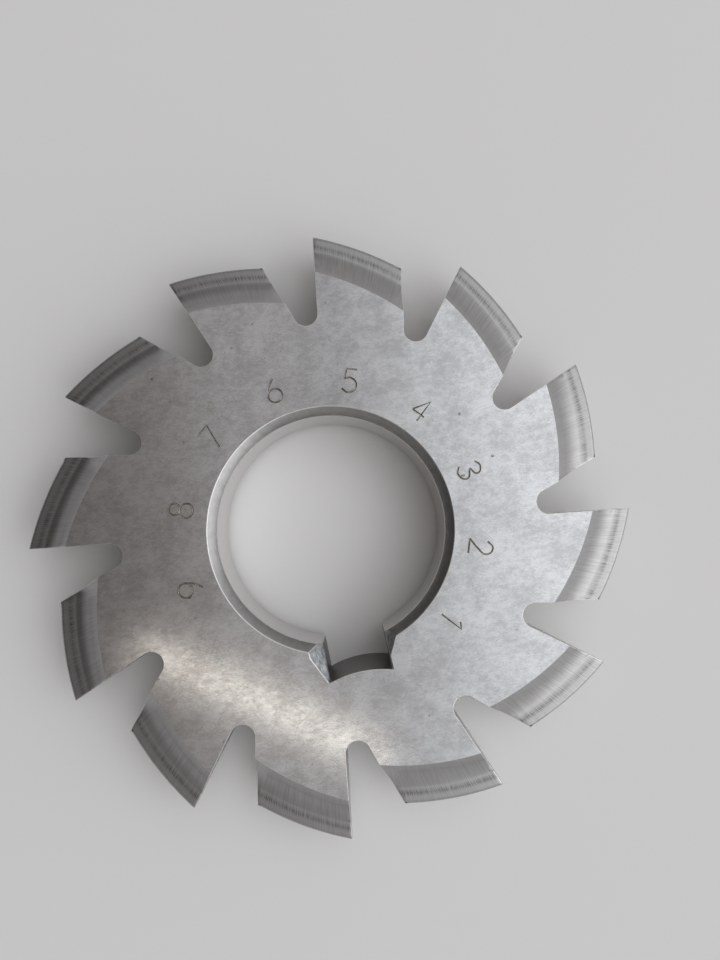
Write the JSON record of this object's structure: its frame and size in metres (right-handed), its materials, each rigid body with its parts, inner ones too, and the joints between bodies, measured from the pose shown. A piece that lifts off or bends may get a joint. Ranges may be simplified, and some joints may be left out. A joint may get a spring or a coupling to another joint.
{
  "type": "involute gear cutter",
  "caption": "Disc-shaped milling cutter for involute gear teeth, with form-relieved radial teeth, flat ground sides and a keyed bore for an arbor.",
  "frame": {"origin": "on the bore's axis, halfway through the thickness", "axes": "+Z along the bore's axis, up out of the side face whose teeth have their cutting faces at their anticlockwise ends; -Y from the axis through the middle of the keyway; +X completes the frame"},
  "size_m": [0.0594, 0.0594, 0.0074],
  "materials": {
    "tool_steel": "ground high-speed steel, faintly mottled, with relieved flanks left as turned"
  },
  "bodies": {
    "root": {"gear_cutter": "tool_steel"}
  },
  "joints": []
}
